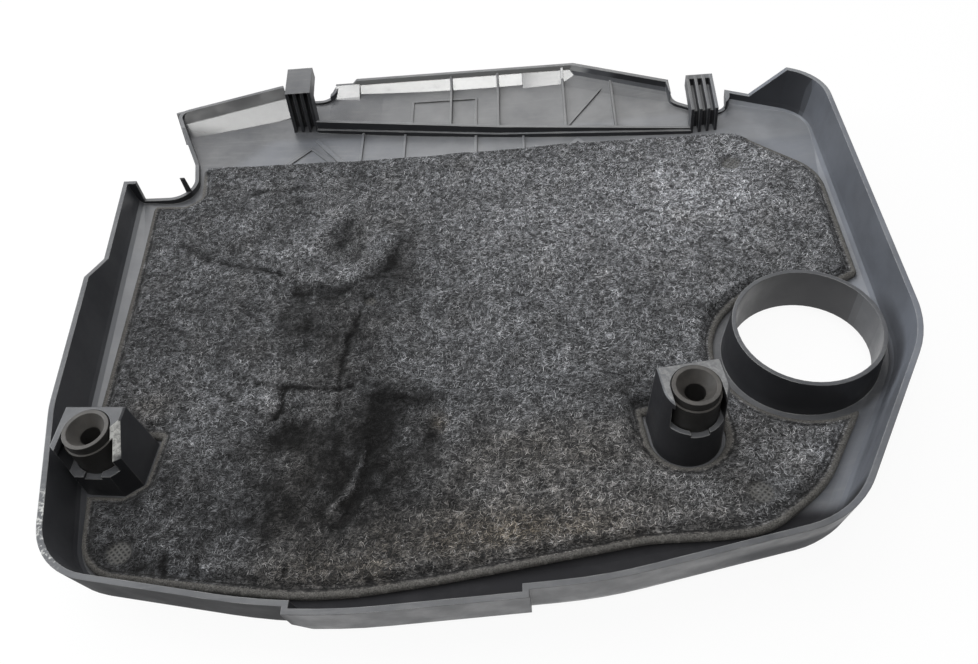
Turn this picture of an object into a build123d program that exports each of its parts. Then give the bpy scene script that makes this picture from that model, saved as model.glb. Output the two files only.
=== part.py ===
from build123d import *
import os
from math import cos, radians, sin, sqrt, tan

# Engine cover, lying outer face down with its underside up, as it is laid on a bench.
# Millimetres. X runs to the oil filler, Y to the rear hooks, Z up out of the underside.
# The origin is the middle of the small flat that the crowned face rests on.

# Crowned panel
crown_radius = 2600.0
rest_depth = 1.2
wall = 2.8

# Skirt round the panel
right_edge = 223.0
lobe_corner_y = 135.5
side_bend_y = -70.5
front_right = (166.0, -167.0)
front_mid_right = (60.0, -190.5)
front_mid_left = (-70.0, -199.0)
front_left = (-186.0, -178.0)
left_bend = (-207.0, -93.0)
left_lean = 0.102
skirt_flare = 7.0
edge_round = 9.0
round_height = 18.0
band_reach = 30.0
form_top = 64.0
rim_height = 42.0

# Rear edge of the panel, with the bay in its left side and the two hook gaps
rear_edge = 205.0
rear_wall = 2.6
rear_corner = 3.0
bay_tip = -221.0
bay_front = 91.0
bay_right = -187.0
bay_waist = (-194.0, 124.0)
wing_corner = (-213.0, 168.0)
wing_rear = 191.5
left_gap = (-139.0, -107.0)
rear_slant_start = 95.0
rear_end = (136.0, 182.0)
right_gap = (138.0, 172.0)
right_gap_y = (161.0, 139.0)
trim_margin = 30.0

# Rim heights behind the full skirt
left_rim = 30.0
left_step = (-4.0, 22.0)
bay_rim = 14.5
wing_rim = 27.0
mid_rim = 19.0
mid_step = (-92.0, 4.0)
lobe_rim = 19.0
lobe_ramp = (187.0, 207.0)
gap_sill = 12.5
left_zone = -176.0
rear_zone = 104.0

# Shallow bulge of the front skirt
bulge_left = -72.0
bulge_right = 26.0
bulge_depth = 3.5
bulge_shelf = 17.0
bulge_reach = 45.0
bulge_cut = 8.0

# Facets inside the rear wall: height, then how far each stretch of it leans into the panel
facet_rise = 4.6
facet_breaks = (-86.0, 34.0)
facet_runs = (8.6, 4.6, 7.0)
wing_facet_rise = 13.0
wing_facet_run = 13.0

# Oil filler collar
collar_at = (175.6, -58.8)
collar_bore = 36.0
collar_rim = 38.2
collar_base = 41.0
collar_height = 32.0

# Grommet towers: place, turn and top height of each
right_tower_at = (109.3, -107.8)
right_tower_turn = 7.0
right_tower_top = 53.0
left_tower_at = (-184.0, -113.0)
left_tower_turn = -3.0
left_tower_top = 48.0
tower_half = 17.6
tower_back = 16.0
tower_front = 16.6
tower_draft = 2.5
tower_wall = 2.4
plate = 4.0
plate_edge = 0.8
pocket_drop = 19.0
pocket_floor = 2.0
pocket_half = 12.9
arm_reach = 11.6
ledge_notch = 9.0
cut_corners = ((16.0, 6.0, 0.0), (7.5, -4.5, 0.0), (15.0, -8.0, -10.0))

# Rubber grommet
grommet_ring = 11.4
grommet_body = 12.4
grommet_bore = 5.0
grommet_cup = 9.4
cup_depth = 6.0
ring_proud = 0.6
slot_gap = 0.5
seat_gap = 0.3

# Rear hooks: middle, foot, bend and tip of each in the YZ plane
left_hook_x = -121.5
left_hook_foot = 157.0
left_hook_bend = (163.0, 39.0)
left_hook_tip = (186.0, 43.5)
right_hook_x = 154.0
right_hook_foot = 127.5
right_hook_bend = (132.0, 26.0)
right_hook_tip = (163.0, 31.0)
hook_width = 17.6
hook_fin = 2.0
hook_fins = 4
hook_web = 2.2
hook_depth = 8.0
hook_cap = 3.0

# Ribs of the rear panel
beam_left = (-113.0, 160.0)
beam_right = (146.0, 131.0)
beam_top = (17.4, 13.1, 12.6)
beam_thick = 2.4
plinth_reach = 1.5
plinth_height = 2.4
rear_ribs = (-18.0, 16.0, 63.0, 97.0)
rib_thick = 1.6
rib_height = 2.6
frame_x = (-46.0, 0.0)
frame_rear = 185.0
crease = ((64.0, 148.0), (97.0, 194.0))
fold = ((-113.0, 149.0), (-92.0, 124.0))
fold_thick = 3.4
line_height = 0.8
step_ribs = (-80.0, -50.0, 0.0, 33.0)
step_height = 1.4
pad_height = 2.0
pad_border = 2.4
pad_sink = 0.8
left_pad = (-115.0, 141.0)
right_pad = (70.0, 134.0)

# Felt liner
felt_gap = 0.3
felt_edge_gap = 1.0
felt_border = 2.8
felt_border_width = 5.0
felt_thick = 9.0
felt_rear = (119.5, 126.5, 121.0)
felt_rear_mid = 60.0
felt_side_gap = 6.0
felt_bay_gap = 8.0
felt_front_gap = 9.5
felt_shoulder = (172.0, 78.0)
felt_collar_gap = 4.0
felt_tower_gap = 1.6
felt_filler_edge = (-10.0, -101.0)
weld_radius = 6.5
weld_depth = 3.5
weld_sides = 8
weld_spots = ((-61.0, -3.0), (-167.0, -163.0), (138.0, -143.0), (165.0, 91.0))

spread = tan(radians(skirt_flare))


def grown(corners, amount):
    # Moves every side of a clockwise outline outwards, and keeps its round corners concentric
    moved = []
    for i, (x, y, radius) in enumerate(corners):
        here = Vector(x, y)
        before = (here - Vector(*corners[i - 1][:2])).normalized()
        after = (Vector(*corners[(i + 1) % len(corners)][:2]) - here).normalized()
        normal_before = Vector(-before.Y, before.X)
        normal_after = Vector(-after.Y, after.X)
        shift = (normal_before + normal_after) * (amount / (1 + normal_before.dot(normal_after)))
        convex = before.X * after.Y < before.Y * after.X
        moved.append((x + shift.X, y + shift.Y, max(radius + (amount if convex else -amount), 0.6)))
    return moved


def outline(corners, amount=0.0, height=0.0):
    moved = grown(corners, amount)
    with BuildSketch(Plane.XY.offset(height)) as shape:
        with BuildLine():
            FilletPolyline(*[(x, y) for x, y, radius in moved], radius=[c[2] for c in moved], close=True)
        make_face()
    return shape.sketch


def crown_height(x, y):
    # Height of the panel's outer face above the rest plane
    return max(0.0, crown_radius - rest_depth - sqrt(crown_radius**2 - x**2 - y**2))


# Skirt outline at the rest plane, with its rear side far behind the panel's own rear edge
skirt_rear = rear_edge + 140.0
skirt = [
    (left_bend[0] - left_lean * (skirt_rear - left_bend[1]), skirt_rear, 40.0),
    (right_edge, lobe_corner_y, 28.0),
    (right_edge, side_bend_y, 60.0),
    (*front_right, 45.0),
    (*front_mid_right, 250.0),
    (*front_mid_left, 300.0),
    (*front_left, 32.0),
    (*left_bend, 60.0),
]

# Trim outline: only its rear and left-rear sides cut the skirt
trim_right = right_edge + trim_margin
trim_left = left_bend[0] - 2 * trim_margin
trim_front = front_mid_left[1] - trim_margin
trim = [
    (right_gap[1], right_gap_y[1], 9.0),
    (right_gap[1] + 0.5, lobe_corner_y + 2 * trim_margin, 1.0),
    (trim_right, lobe_corner_y + 2 * trim_margin, 1.0),
    (trim_right, trim_front, 1.0),
    (trim_left, trim_front, 1.0),
    (trim_left, bay_front + 3.0, 1.0),
    (bay_right, bay_front, 14.0),
    (*bay_waist, 20.0),
    (*wing_corner, 8.0),
    (left_gap[0], wing_rear, 12.0),
    (left_gap[1], wing_rear - 1.5, 9.0),
    (left_gap[1] + rear_corner, rear_edge, 6.0),
    (rear_slant_start, rear_edge, 8.0),
    (*rear_end, 10.0),
    (right_gap[0], right_gap_y[0], 9.0),
]


def dish(inset):
    # The skirt and crown as one solid form; an inset gives the parallel form inside it
    turn = max(edge_round - inset, 1.0)
    centre = round_height - edge_round + inset + turn
    levels = [(inset, -band_reach - inset / 3)]
    for angle in (80, 55, 28, 0):
        drop = turn * sin(radians(angle))
        pull = turn * (1 - cos(radians(angle)))
        levels.append((centre - drop, spread * centre - inset - pull))
    levels.append((form_top, spread * form_top - inset))
    with BuildPart() as form:
        for height, amount in levels:
            add(outline(skirt, amount, height))
        loft(ruled=True)
        with Locations((0, 0, crown_radius - rest_depth)):
            Sphere(crown_radius - inset, rotation=(90, 0, 0), mode=Mode.INTERSECT)
    return form.part


outer_form = dish(0.0)
inner_form = dish(wall)

# Low wall along the trimmed rear edge
with BuildPart() as rear_rim:
    with BuildSketch():
        add(outline(trim))
        add(outline(trim, -rear_wall), mode=Mode.SUBTRACT)
    extrude(amount=form_top)
    add(outer_form, mode=Mode.INTERSECT)


def tower_profile(at, turn, rounded, amount):
    # Plan of a tower at its foot: square behind, round or cut corners in front
    half = tower_half + amount
    back = tower_back + amount
    front = tower_front + amount
    plane = Plane(origin=(*at, 0.0), x_dir=Vector(1, 0, 0).rotate(Axis.Z, turn), z_dir=(0, 0, 1))
    with BuildSketch(plane) as shape:
        with BuildLine():
            if rounded:
                Polyline((half, 0.0), (half, back), (-half, back), (-half, 0.0))
                ThreePointArc((-half, 0.0), (0.0, -front), (half, 0.0))
            else:
                nose = 0.55 * half
                shoulder = front - 0.4 * half
                Polyline((half, -shoulder), (half, back), (-half, back), (-half, -shoulder),
                         (-nose, -front), (nose, -front), close=True)
        make_face()
    return shape.sketch


def tower(at, turn, top, rounded):
    # Hollow post with a U-slotted top plate and a pocket for the grommet, open to the front
    ledge = top - pocket_drop
    plane = Plane(origin=(*at, 0.0), x_dir=Vector(1, 0, 0).rotate(Axis.Z, turn), z_dir=(0, 0, 1))
    slot = grommet_ring + slot_gap
    with BuildPart() as post:
        with BuildSketch():
            add(tower_profile(at, turn, rounded, 0.0))
        extrude(amount=top, taper=tower_draft)
        # Room in front of the arms, above the ledge
        with BuildSketch(plane.offset(ledge)):
            with Locations((0, -arm_reach - tower_front)):
                Rectangle(4 * tower_half, 2 * tower_front)
        extrude(amount=pocket_drop, mode=Mode.SUBTRACT)
        # Pocket under the plate
        with BuildSketch(plane.offset(ledge)):
            Circle(pocket_half)
            with Locations((0, -tower_front)):
                Rectangle(2 * pocket_half, 2 * tower_front)
        extrude(amount=pocket_drop - plate, mode=Mode.SUBTRACT)
        # Slot through the plate
        with BuildSketch(plane.offset(top - plate)):
            Circle(slot)
            with Locations((0, -tower_front)):
                Rectangle(2 * slot, 2 * tower_front)
        extrude(amount=plate, mode=Mode.SUBTRACT)
        # Sunk floor with the notch in its front ledge
        with BuildSketch(plane.offset(ledge - pocket_floor)):
            Circle(pocket_half)
            with Locations((0, -0.5 * tower_front)):
                Rectangle(ledge_notch, tower_front - tower_wall)
        extrude(amount=pocket_floor, mode=Mode.SUBTRACT)
        # Stud clearance and the hollow under the floor
        with BuildSketch(plane):
            Circle(grommet_bore)
        extrude(amount=ledge, mode=Mode.SUBTRACT)
        under = ledge - pocket_floor - tower_wall
        with BuildSketch():
            add(tower_profile(at, turn, rounded, -tower_wall - under * tan(radians(tower_draft))))
        extrude(amount=under, mode=Mode.SUBTRACT)
        rim_edges = post.edges().group_by(Axis.Z)[-1].filter_by(GeomType.LINE).sort_by(SortBy.LENGTH)
        chamfer(rim_edges[-3:], plate_edge)
    return post.part


round_tower = tower(right_tower_at, right_tower_turn, right_tower_top, True)
square_tower = tower(left_tower_at, left_tower_turn, left_tower_top, False)

# Both towers end on the inside of the panel
with BuildPart() as tower_right:
    add(round_tower)
    add(inner_form, mode=Mode.INTERSECT)

# The left tower's right arm is cut off slantwise
with BuildPart() as tower_left:
    add(square_tower)
    add(inner_form, mode=Mode.INTERSECT)
    high, middle, low = [Vector(*left_tower_at, left_tower_top) + Vector(*c) for c in cut_corners]
    with BuildSketch(Plane(origin=high, x_dir=middle - high, z_dir=(middle - high).cross(low - high))):
        Rectangle(4 * tower_half, 4 * tower_half)
    extrude(amount=2 * tower_half, mode=Mode.SUBTRACT)


def hook_profile(foot, bend, tip, near, far):
    # Side view of a hook between two depths behind its front and top faces
    low = 0.0
    return [
        (foot + near, low),
        (bend[0] + near, bend[1] - near),
        (tip[0], tip[1] - near),
        (tip[0], tip[1] - far),
        (bend[0] + far, bend[1] - far),
        (foot + far, low),
    ]


def hook(middle, foot, bend, tip, open_top):
    # Fins along both legs, a web that ties them and a cap at the tip
    pitch = (hook_width - hook_fin) / (hook_fins - 1)
    with BuildPart() as bracket:
        for i in range(hook_fins):
            left = middle - hook_width / 2 + i * pitch
            with BuildSketch(Plane.YZ.offset(left)):
                with BuildLine():
                    Polyline(*hook_profile(foot, bend, tip, 0.0, hook_depth), close=True)
                make_face()
            extrude(amount=hook_fin)
        with BuildSketch(Plane.YZ.offset(middle - hook_width / 2)):
            with BuildLine():
                Polyline(*hook_profile(foot, bend, tip, hook_depth - hook_web, hook_depth), close=True)
            make_face()
            if not open_top:
                with BuildLine():
                    Polyline((bend[0], bend[1]), tip, (tip[0], tip[1] - hook_web),
                             (bend[0] + hook_web, bend[1] - hook_web), close=True)
                make_face()
            with BuildLine():
                Polyline(tip, (tip[0], tip[1] - hook_depth), (tip[0] - hook_cap, tip[1] - hook_depth - 1.0),
                         (tip[0] - hook_cap, tip[1] - 1.0), close=True)
            make_face()
        extrude(amount=hook_width)
        add(inner_form, mode=Mode.INTERSECT)
    return bracket.part


hook_left = hook(left_hook_x, left_hook_foot, left_hook_bend, left_hook_tip, False)
hook_right = hook(right_hook_x, right_hook_foot, right_hook_bend, right_hook_tip, True)


def upright(start, end, top_line, thick):
    # Thin wall from start to end; top_line lists (distance along it, height) pairs
    run = Vector(*end) - Vector(*start)
    plane = Plane(origin=(*start, 0.0), x_dir=(run.X, run.Y, 0.0), z_dir=(run.Y, -run.X, 0.0))
    with BuildPart() as blade:
        with BuildSketch(plane):
            with BuildLine():
                Polyline((0.0, 0.0), *top_line, (top_line[-1][0], 0.0), close=True)
            make_face()
        extrude(amount=thick / 2, both=True)
    return blade.part


def panel_top(x, y):
    return crown_height(x, y) + wall


def beam_y(x):
    share = (x - beam_left[0]) / (beam_right[0] - beam_left[0])
    return beam_left[1] + share * (beam_right[1] - beam_left[1])


def felt_rear_y(x):
    share = (x - bay_right) / (felt_rear_mid - bay_right)
    return felt_rear[0] + share * (felt_rear[1] - felt_rear[0])


def facet(start, end, rise, run):
    # Sloped strip between panel and rear wall, and the matching cut that keeps its outside parallel
    length = Vector(*start) - Vector(*end)
    inward = Vector(-length.Y, length.X, 0.0).normalized()
    plane = Plane(origin=(*end, 0.0), x_dir=inward, z_dir=(length.X, length.Y, 0.0))
    foot = (panel_top(*start) + panel_top(*end)) / 2
    crest = foot + rise
    lean = run / rise
    reach = rear_wall + run + wall * lean
    with BuildPart() as strip:
        with BuildSketch(plane):
            with BuildLine():
                Polyline((rear_wall / 4, 0.0), (rear_wall / 4, crest), (rear_wall, crest),
                         (reach, foot - wall), (reach, 0.0), close=True)
            make_face()
        extrude(amount=length.length)
    slope = sqrt(rise**2 + run**2)
    side = rear_wall - wall * rise / slope
    top = crest - wall * run / slope
    with BuildPart() as relief:
        with BuildSketch(plane):
            with BuildLine():
                Polyline((-wall, top + (side + wall) / lean), (-wall, -wall),
                         (side + (top + wall) * lean, -wall), close=True)
            make_face()
        extrude(amount=length.length)
    return strip.part, relief.part


mid_line = [(x, rear_edge) for x in (left_gap[1] + rear_corner, *facet_breaks, rear_slant_start)]
facets = [
    facet(wing_corner, (left_gap[0], wing_rear), wing_facet_rise, wing_facet_run),
    facet(mid_line[-1], rear_end, facet_rise, facet_runs[-1]),
]
for start, end, run in zip(mid_line, mid_line[1:], facet_runs):
    facets.append(facet(start, end, facet_rise, run))

# Everything that stands up inside the dish, before it is trimmed to the crown
with BuildPart() as insides:
    with Locations((*collar_at, collar_height / 2)):
        Cone(collar_base, collar_rim, collar_height)
    for strip, relief in facets:
        add(strip)
    beam_run = (Vector(*beam_right) - Vector(*beam_left)).length
    beam_middle = ((beam_left[0] + beam_right[0]) / 2, (beam_left[1] + beam_right[1]) / 2)
    along = (0.0, beam_run / 2, beam_run)
    add(upright(beam_left, beam_right, [*zip(along, beam_top)], beam_thick))
    plinth_top = [panel_top(*at) + plinth_height for at in (beam_left, beam_middle, beam_right)]
    ends = [(x, y - plinth_reach / 2) for x, y in (beam_left, beam_right)]
    add(upright(*ends, [*zip(along, plinth_top)], beam_thick + plinth_reach))
    for x in rear_ribs:
        foot = beam_y(x)
        run = rear_edge - rear_wall - foot
        low = panel_top(x, rear_edge) + rib_height
        bend = run - facet_runs[-1]
        line = [(0.0, panel_top(x, foot) + rib_height), (bend, low), (run, low + facet_rise)]
        add(upright((x, foot), (x, rear_edge - rear_wall), line, rib_thick))
    for x in step_ribs:
        front = felt_rear_y(x) + felt_edge_gap
        run = beam_y(x) - front
        line = [(0.0, panel_top(x, front) + step_height), (run, panel_top(x, beam_y(x)) + step_height)]
        add(upright((x, front), (x, beam_y(x)), line, rib_thick))
    left, right = frame_x
    frame = [(left, beam_y(left)), (left, frame_rear), (right, frame_rear), (right, beam_y(right))]
    lines = [(start, end, rib_thick) for start, end in [*zip(frame, frame[1:]), crease]]
    for start, end, thick in [*lines, (*fold, fold_thick)]:
        run = (Vector(*end) - Vector(*start)).length
        line = [(0.0, panel_top(*start) + line_height), (run, panel_top(*end) + line_height)]
        add(upright(start, end, line, thick))
    for x, y in (left_pad, right_pad):
        base = felt_rear_y(x) + felt_edge_gap
        half = y - base
        for sink, mode in ((0.0, Mode.ADD), (pad_border, Mode.SUBTRACT)):
            with BuildSketch(Plane.XY.offset(panel_top(x, y) + pad_height)):
                with BuildLine():
                    Polyline((x, y - 1.6 * sink), (x + half - 2 * sink, base), (x - half + 2 * sink, base),
                             close=True)
                make_face()
            extrude(amount=-pad_height if sink == 0.0 else -pad_sink, mode=mode)
    add(outer_form, mode=Mode.INTERSECT)
    for bracket in (hook_left, hook_right):
        add(bracket, mode=Mode.SUBTRACT)


def front_bulge(inset, margin):
    # Part of a parallel form within the width of the front bulge, above its lower shelf
    left = bulge_left - margin
    right = bulge_right + margin
    shelf = bulge_shelf + wall - margin
    with BuildPart() as block:
        add(dish(inset - bulge_depth))
        with BuildSketch(Plane.XZ.offset(-front_mid_left[1])):
            with BuildLine():
                Polyline((left, form_top), (left, shelf + bulge_cut), (left + bulge_cut, shelf),
                         (right, shelf), (right, form_top), close=True)
            make_face()
        extrude(amount=bulge_reach, both=True, mode=Mode.INTERSECT)
    return block.part


with BuildPart() as cover_shell:
    add(outer_form)
    add(inner_form, mode=Mode.SUBTRACT)
    with BuildSketch():
        add(outline(trim))
    extrude(amount=form_top, mode=Mode.INTERSECT)
    add(front_bulge(0.0, wall))
    add(inner_form, mode=Mode.SUBTRACT)
    add(front_bulge(wall, 0.0), mode=Mode.SUBTRACT)
    add(rear_rim.part)
    # Rim line of the rear, seen from the front
    with BuildSketch(Plane.XZ.offset(-rear_zone)):
        with BuildLine():
            Polyline((left_zone, wing_rim), (left_gap[0], wing_rim), (left_gap[0], gap_sill),
                     (left_gap[1], gap_sill), (left_gap[1], mid_rim - mid_step[1]),
                     (mid_step[0], mid_rim - mid_step[1]), (mid_step[0] + mid_step[1], mid_rim),
                     (right_gap[0] - 2, mid_rim),
                     (right_gap[0] - 2, gap_sill), (right_gap[1] - 1, gap_sill), (right_gap[1] - 1, lobe_rim),
                     (lobe_ramp[0], lobe_rim), (lobe_ramp[1], rim_height), (trim_right, rim_height),
                     (trim_right, form_top + 1), (left_zone, form_top + 1), close=True)
        make_face()
    extrude(amount=-2 * rear_edge, mode=Mode.SUBTRACT)
    # Rim line of the left side, seen from the right
    with BuildSketch(Plane.YZ.offset(left_zone)):
        with BuildLine():
            Polyline((trim_front, rim_height), (left_step[0], rim_height), (left_step[1], left_rim),
                     (bay_front + 5, left_rim), (bay_front + 6, bay_rim), (bay_waist[1], bay_rim),
                     (bay_waist[1] + 26, wing_rim), (2 * rear_edge, wing_rim),
                     (2 * rear_edge, form_top + 1), (trim_front, form_top + 1), close=True)
        make_face()
    extrude(amount=2 * trim_left, mode=Mode.SUBTRACT)
    # Low rim along the front of the bay
    with BuildSketch(Plane.XY.offset(bay_rim)):
        with Locations(((bay_tip + left_zone) / 2, bay_front)):
            Rectangle(left_zone - bay_tip, 4 * rear_wall)
    extrude(amount=form_top, mode=Mode.SUBTRACT)
    # Rim line of the front and right
    with BuildSketch(Plane.XY.offset(rim_height)):
        with BuildLine():
            Polyline((left_zone, trim_front), (left_zone, rear_zone), (trim_right, rear_zone),
                     (trim_right, trim_front), close=True)
        make_face()
    extrude(amount=form_top, mode=Mode.SUBTRACT)
    add(insides.part)
    for strip, relief in facets:
        add(relief, mode=Mode.SUBTRACT)
    with BuildSketch(Plane.XY):
        with Locations(collar_at):
            Circle(collar_bore)
    extrude(amount=collar_height + 1, mode=Mode.SUBTRACT)


def grommet(at, top):
    # Rubber socket for a ball stud: ring in the plate's slot, wider body between plate and pocket floor
    ring_top = top + ring_proud
    body_top = top - plate - seat_gap
    foot = top - pocket_drop - pocket_floor + seat_gap
    with BuildPart() as socket:
        with BuildSketch(Plane(origin=(*at, 0.0), x_dir=(1, 0, 0), z_dir=(0, -1, 0))):
            with BuildLine():
                Polyline((grommet_bore, foot), (grommet_body, foot), (grommet_body, body_top),
                         (grommet_ring, body_top), (grommet_ring, ring_top), (grommet_cup, ring_top),
                         (grommet_bore, ring_top - cup_depth), close=True)
            make_face()
        revolve(axis=Axis(origin=(*at, 0.0), direction=(0, 0, 1)))
    return socket.part


felt_outline = [
    (bay_right + 0.5, felt_rear[0], 4.0),
    (felt_rear_mid, felt_rear[1], 200.0),
    (felt_shoulder[0], felt_rear[2], 30.0),
    (right_edge - felt_side_gap, felt_shoulder[1], 34.0),
    (right_edge - felt_side_gap, felt_filler_edge[0], 2.0),
    (collar_at[0] + collar_base - 11.0, felt_filler_edge[0] - 5.0, 2.0),
    (*collar_at, 2.0),
    (collar_at[0] + 19.0, felt_filler_edge[1], 4.0),
    (front_right[0] + 4.0, front_right[1] + 26.0, 60.0),
    (front_right[0] - 26.0, front_right[1] + 4.0, 45.0),
    (front_mid_right[0], front_mid_right[1] + felt_front_gap + 5.0, 200.0),
    (front_mid_left[0], front_mid_left[1] + felt_front_gap + 1.0, 200.0),
    (front_left[0] + 2.0, front_left[1] + 4.0, 26.0),
    (left_bend[0] + felt_side_gap, left_bend[1], 60.0),
    (bay_tip + 8.5, bay_front - felt_bay_gap, 3.0),
    (bay_right - 4.0, bay_front - felt_bay_gap, 8.0),
    (bay_right + 4.0, bay_front, 6.0),
]


def felt_face(inset):
    # Plan of the liner with its cut-outs round the collar and the towers
    with BuildSketch() as shape:
        add(outline(felt_outline, -inset))
        with Locations(collar_at):
            Circle(collar_base + felt_collar_gap + inset, mode=Mode.SUBTRACT)
        add(tower_profile(right_tower_at, right_tower_turn, True, felt_tower_gap + inset), mode=Mode.SUBTRACT)
        add(tower_profile(left_tower_at, left_tower_turn, False, felt_tower_gap + inset), mode=Mode.SUBTRACT)
        reach = tower_back + tower_front + 2 * (felt_tower_gap + inset)
        middle = left_tower_at[1] + (tower_back - tower_front) / 2
        with Locations((left_tower_at[0] - 2 * tower_half, middle)):
            Rectangle(4 * tower_half, reach, mode=Mode.SUBTRACT)
    return shape.sketch


def felt_layer(inset, thick):
    with BuildPart() as layer:
        with BuildSketch():
            add(felt_face(inset))
        extrude(amount=rim_height)
        add(dish(wall + felt_gap), mode=Mode.INTERSECT)
        add(dish(wall + felt_gap + thick), mode=Mode.SUBTRACT)
    return layer.part


# Round spots where the liner is pressed down and welded to the panel
with BuildPart() as welds:
    with BuildSketch():
        with Locations(*weld_spots):
            RegularPolygon(weld_radius, weld_sides)
    extrude(amount=rim_height)
    add(dish(wall + felt_gap + felt_thick - weld_depth), mode=Mode.INTERSECT)

with BuildPart() as felt_liner:
    add(felt_layer(0.0, felt_border))
    add(felt_layer(felt_border_width, felt_thick))
    add(welds.part, mode=Mode.SUBTRACT)

grommet_left = grommet(left_tower_at, left_tower_top)
grommet_right = grommet(right_tower_at, right_tower_top)

os.makedirs("parts", exist_ok=True)
nodes = {
    "cover_shell": cover_shell.part,
    "tower_left": tower_left.part,
    "tower_right": tower_right.part,
    "hook_left": hook_left,
    "hook_right": hook_right,
    "felt_liner": felt_liner.part,
    "grommet_left": grommet_left,
    "grommet_right": grommet_right,
}
for name, piece in nodes.items():
    piece.label = name
    export_step(piece, f"parts/{name}.step")
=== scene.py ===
import math

import bmesh
import bpy
import numpy as np
from mathutils import Matrix, Vector, kdtree, noise
from mathutils.bvhtree import BVHTree


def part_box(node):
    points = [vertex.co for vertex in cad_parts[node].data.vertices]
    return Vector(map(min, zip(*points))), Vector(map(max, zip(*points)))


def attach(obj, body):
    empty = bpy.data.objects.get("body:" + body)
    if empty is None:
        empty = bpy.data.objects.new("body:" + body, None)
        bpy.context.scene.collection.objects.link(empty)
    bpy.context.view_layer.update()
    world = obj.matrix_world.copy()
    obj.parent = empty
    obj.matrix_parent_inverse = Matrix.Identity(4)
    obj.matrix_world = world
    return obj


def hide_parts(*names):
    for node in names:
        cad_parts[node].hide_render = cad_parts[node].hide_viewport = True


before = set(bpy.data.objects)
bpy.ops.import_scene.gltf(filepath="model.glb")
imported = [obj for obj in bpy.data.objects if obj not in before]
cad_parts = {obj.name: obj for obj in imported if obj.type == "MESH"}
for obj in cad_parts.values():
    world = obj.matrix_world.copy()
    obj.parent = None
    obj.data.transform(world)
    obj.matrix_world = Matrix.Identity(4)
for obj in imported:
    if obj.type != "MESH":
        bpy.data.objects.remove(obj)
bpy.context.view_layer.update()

mm = 0.001
scene = bpy.context.scene
print("stage: frame loaded")


# node helpers

def newMaterial(name):
    mat = bpy.data.materials.new(name)
    mat.use_nodes = True
    tree = mat.node_tree
    tree.nodes.clear()
    out = tree.nodes.new("ShaderNodeOutputMaterial")
    bsdf = tree.nodes.new("ShaderNodeBsdfPrincipled")
    tree.links.new(bsdf.outputs[0], out.inputs[0])
    return mat, tree, bsdf


def put(tree, socket, value):
    # a number or colour is set on the socket, anything else is linked to it
    if isinstance(value, bpy.types.NodeSocket):
        tree.links.new(value, socket)
    elif isinstance(value, (tuple, list)) and len(value) == 3 and len(socket.default_value) == 4:
        socket.default_value = (*value, 1.0)
    else:
        socket.default_value = value


def calc(tree, operation, a, b=0.0, c=None, clamp=False):
    node = tree.nodes.new("ShaderNodeMath")
    node.operation = operation
    node.use_clamp = clamp
    put(tree, node.inputs[0], a)
    put(tree, node.inputs[1], b)
    if c is not None:
        put(tree, node.inputs[2], c)
    return node.outputs[0]


def times(tree, *values):
    product = values[0]
    for value in values[1:]:
        product = calc(tree, "MULTIPLY", product, value)
    return product


def most(tree, *values):
    largest = values[0]
    for value in values[1:]:
        largest = calc(tree, "MAXIMUM", largest, value)
    return largest


def ramp(tree, value, low, high, start=0.0, end=1.0):
    # eased from start at low to end at high; low may be the larger one
    node = tree.nodes.new("ShaderNodeMapRange")
    node.interpolation_type = "SMOOTHSTEP"
    put(tree, node.inputs["Value"], value)
    node.inputs["From Min"].default_value = low
    node.inputs["From Max"].default_value = high
    node.inputs["To Min"].default_value = start
    node.inputs["To Max"].default_value = end
    return node.outputs["Result"]


def above(tree, value, place, soft):
    return ramp(tree, value, place - soft, place + soft)


def below(tree, value, place, soft):
    return ramp(tree, value, place + soft, place - soft)


def between(tree, value, low, high, soft):
    # 1 from low to high, fading out over soft on both sides
    return times(tree, above(tree, value, low, soft), below(tree, value, high, soft))


def mixColour(tree, share, a, b):
    node = tree.nodes.new("ShaderNodeMix")
    node.data_type = "RGBA"
    put(tree, node.inputs["Factor"], share)
    put(tree, node.inputs[6], a)
    put(tree, node.inputs[7], b)
    return node.outputs[2]


def noiseTex(tree, coords, scale, detail=3.0, rough=0.55, distortion=0.0):
    node = tree.nodes.new("ShaderNodeTexNoise")
    put(tree, node.inputs["Vector"], coords)
    node.inputs["Scale"].default_value = scale
    node.inputs["Detail"].default_value = detail
    node.inputs["Roughness"].default_value = rough
    node.inputs["Distortion"].default_value = distortion
    return node.outputs["Fac"]


def stretched(tree, coords, turn, scale):
    node = tree.nodes.new("ShaderNodeMapping")
    node.inputs["Rotation"].default_value = (0.0, 0.0, turn)
    node.inputs["Scale"].default_value = scale
    put(tree, node.inputs["Vector"], coords)
    return node.outputs[0]


def bump(tree, height, strength, distance, normal=None):
    node = tree.nodes.new("ShaderNodeBump")
    node.inputs["Strength"].default_value = strength
    node.inputs["Distance"].default_value = distance
    put(tree, node.inputs["Height"], height)
    if normal is not None:
        put(tree, node.inputs["Normal"], normal)
    return node.outputs[0]


def roundedEdges(tree, radius):
    node = tree.nodes.new("ShaderNodeBevel")
    node.samples = 6
    node.inputs["Radius"].default_value = radius
    return node.outputs[0]


def dotProduct(tree, a, b):
    node = tree.nodes.new("ShaderNodeVectorMath")
    node.operation = "DOT_PRODUCT"
    put(tree, node.inputs[0], a)
    put(tree, node.inputs[1], b)
    return node.outputs["Value"]


def waffle(tree, x, y, pitch):
    # crossed diagonal ridges, 0 to 1
    u = calc(tree, "SINE", times(tree, calc(tree, "ADD", x, y), math.pi / pitch))
    v = calc(tree, "SINE", times(tree, calc(tree, "SUBTRACT", x, y), math.pi / pitch))
    return most(tree, times(tree, u, u), times(tree, v, v))


def objectCoords(tree):
    return tree.nodes.new("ShaderNodeTexCoord").outputs["Object"]


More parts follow.
